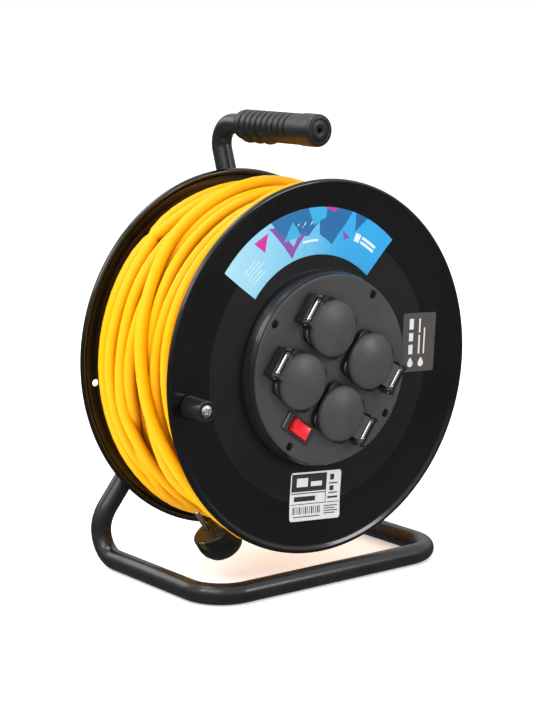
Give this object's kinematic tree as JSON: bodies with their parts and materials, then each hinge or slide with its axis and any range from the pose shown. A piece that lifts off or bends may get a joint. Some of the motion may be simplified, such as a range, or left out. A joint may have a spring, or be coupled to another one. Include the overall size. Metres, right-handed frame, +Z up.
{
  "type": "extension cord reel",
  "caption": "Steel drum reel on a bent-tube stand with a handle, wound with mains cable, with covered sockets and a rocker switch in its face.",
  "frame": {"origin": "on the floor, under the middle of the object's box", "axes": "+X to the right seen from the front, the drum's face looks along -Y, +Z up"},
  "size_m": [0.3194, 0.1913, 0.3972],
  "materials": {
    "enamel": "gloss black enamel on pressed steel sheet",
    "stand_paint": "satin black powder coat on steel tube",
    "grip": "matt soft black grip with ribs",
    "panel": "fine textured dark grey moulding",
    "housing": "glossy black moulding",
    "bezel": "satin black moulding",
    "socket": "satin dark moulding",
    "bright_steel": "bright plated steel",
    "zinc": "zinc plated steel",
    "brass": "plain brass",
    "nylon": "natural nylon",
    "yellow_cable": "smooth yellow-orange cable sheath",
    "plug": "moulded black plug",
    "red_rocker": "clear red switch rocker",
    "banner_film": "glossy printed film",
    "grey_film": "glossy printed film",
    "white_film": "glossy printed film"
  },
  "bodies": {
    "stand": {"stand_tube": "stand_paint", "handle_grip": "grip", "hub_plate": "stand_paint", "axle": "zinc", "thrust_washer": "nylon", "axle_washer": "zinc", "axle_nut": "zinc"},
    "drum": {"front_flange": "enamel", "rear_flange": "enamel", "drum_core": "housing", "bearing_hub": "housing", "rear_bush": "brass", "front_bush": "brass", "tie_rod_1": "zinc", "tie_rod_2": "zinc", "tie_rod_3": "zinc", "tie_rod_4": "zinc", "cable_gland": "housing", "inner_cable": "yellow_cable", "panel_housing": "housing", "socket_panel": "panel", "panel_screw_1": "zinc", "panel_screw_2": "zinc", "panel_screw_3": "zinc", "panel_screw_4": "zinc", "terminal_block": "nylon", "socket_1": "socket", "socket_2": "socket", "socket_3": "socket", "socket_4": "socket", "hinge_pin_1": "bright_steel", "hinge_pin_2": "bright_steel", "hinge_pin_3": "bright_steel", "hinge_pin_4": "bright_steel", "lid_spring_1": "bright_steel", "lid_spring_2": "bright_steel", "lid_spring_3": "bright_steel", "lid_spring_4": "bright_steel", "switch_bezel": "bezel", "knob_screw": "zinc", "knob_nut": "zinc", "banner_label": "banner_film", "side_label": "grey_film", "rating_label": "white_film", "cable_winding": "yellow_cable", "plug_body": "plug", "plug_pin_1": "bright_steel", "plug_pin_2": "bright_steel", "plug_earth_contact_1": "brass", "plug_earth_contact_2": "brass", "plug_strain_relief": "plug"},
    "lid_1": {"lid_1": "panel"},
    "lid_2": {"lid_2": "panel"},
    "lid_3": {"lid_3": "panel"},
    "lid_4": {"lid_4": "panel"},
    "switch_rocker": {"switch_rocker": "red_rocker"},
    "knob": {"knob": "housing"}
  },
  "joints": [
    {"name": "drum_spin", "type": "hinge", "parent": "stand", "child": "drum", "pos_m": [0, -0.0045, 0.185], "axis": [0, 1, 0], "continuous": true},
    {"name": "lid_1_hinge", "type": "hinge", "parent": "drum", "child": "lid_1", "pos_m": [0.06147, -0.0916, 0.17186], "axis": [0.5807, 0, 0.8141], "range_deg": [0, 105], "stiffness_Nm_per_rad": 0.02, "springref_deg": -34.38},
    {"name": "lid_2_hinge", "type": "hinge", "parent": "drum", "child": "lid_2", "pos_m": [-0.02926, -0.0916, 0.23938], "axis": [-0.5807, 0, -0.8141], "range_deg": [0, 105], "stiffness_Nm_per_rad": 0.02, "springref_deg": -34.38},
    {"name": "lid_3_hinge", "type": "hinge", "parent": "drum", "child": "lid_3", "pos_m": [-0.06147, -0.0916, 0.19814], "axis": [-0.5807, 0, -0.8141], "range_deg": [0, 105], "stiffness_Nm_per_rad": 0.02, "springref_deg": -34.38},
    {"name": "lid_4_hinge", "type": "hinge", "parent": "drum", "child": "lid_4", "pos_m": [0.02926, -0.0916, 0.13062], "axis": [0.5807, 0, 0.8141], "range_deg": [0, 105], "stiffness_Nm_per_rad": 0.02, "springref_deg": -34.38},
    {"name": "switch_rocker_tilt", "type": "hinge", "parent": "drum", "child": "switch_rocker", "pos_m": [-0.0368, -0.0801, 0.1399], "axis": [-0.5736, 0, -0.8192], "range_deg": [0, 16]},
    {"name": "knob_spin", "type": "hinge", "parent": "drum", "child": "knob", "pos_m": [-0.1392, -0.0845, 0.1693], "axis": [0, 1, 0], "continuous": true}
  ]
}
